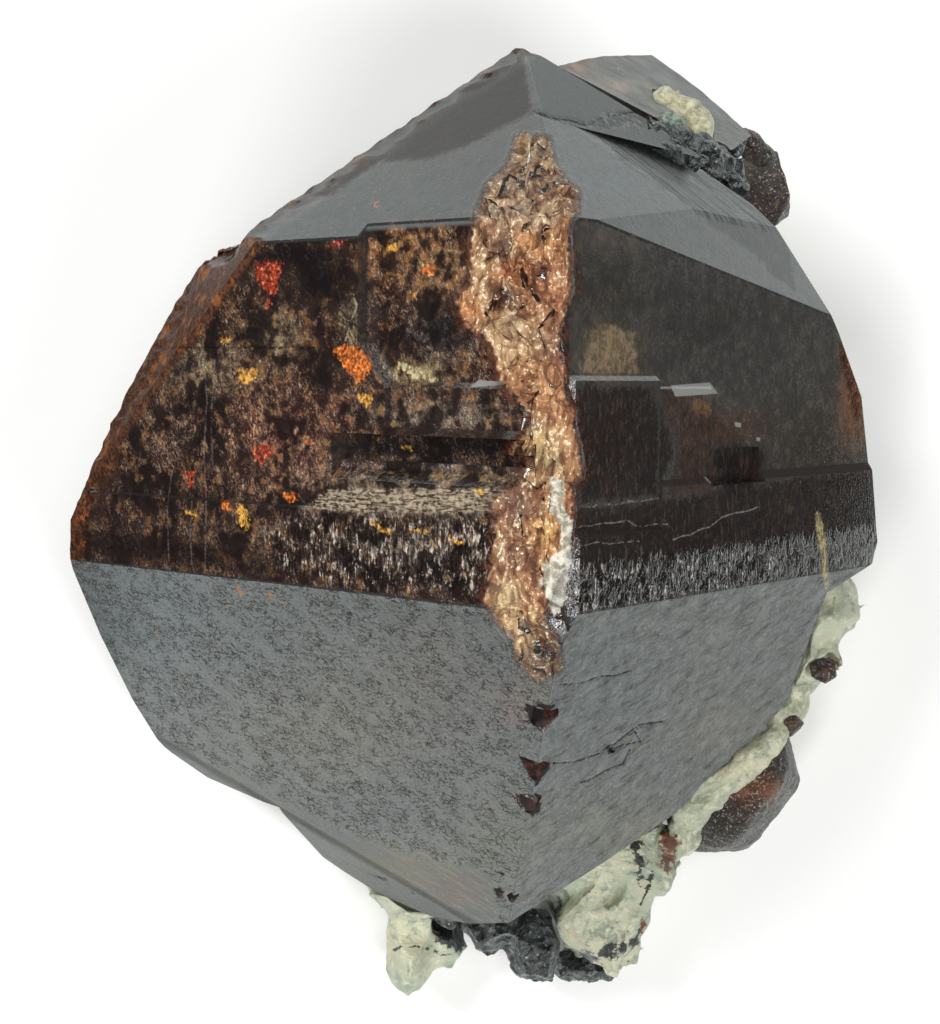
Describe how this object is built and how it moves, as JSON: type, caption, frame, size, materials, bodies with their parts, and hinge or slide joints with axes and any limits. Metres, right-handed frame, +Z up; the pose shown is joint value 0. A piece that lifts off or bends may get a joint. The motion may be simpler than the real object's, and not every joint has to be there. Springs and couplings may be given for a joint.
{
  "type": "rough zircon crystal on matrix",
  "caption": "Large dark brown tetragonal zircon crystal lying on white feldspar matrix, with smaller zircons, black mica and feldspar grains grown beside it.",
  "frame": {"origin": "middle of the specimen's outline, on the flat broken underside that it rests on", "axes": "+Y along the big crystal's long axis towards its upper tip, +Z up towards the viewer, +X to the right as the picture shows it"},
  "size_m": [0.047, 0.0566, 0.0366],
  "materials": {
    "dark_zircon": "glossy crystal faces, dark brown with red and golden flashes inside",
    "grey_zircon": "satin",
    "brown_zircon": "glossy, slightly translucent",
    "feldspar": "rough broken surface with pearly cleavage glints",
    "black_mica": "dark flaky surface with a grey sparkle"
  },
  "bodies": {
    "root": {"main_zircon": "dark_zircon", "neighbour_zircon": "grey_zircon", "brown_zircon": "brown_zircon", "lower_zircon": "brown_zircon", "upper_grain_zircon": "brown_zircon", "lower_grain_zircon": "brown_zircon", "feldspar_matrix": "feldspar", "feldspar_grain": "feldspar", "lower_mica": "black_mica", "upper_mica": "black_mica"}
  },
  "joints": []
}
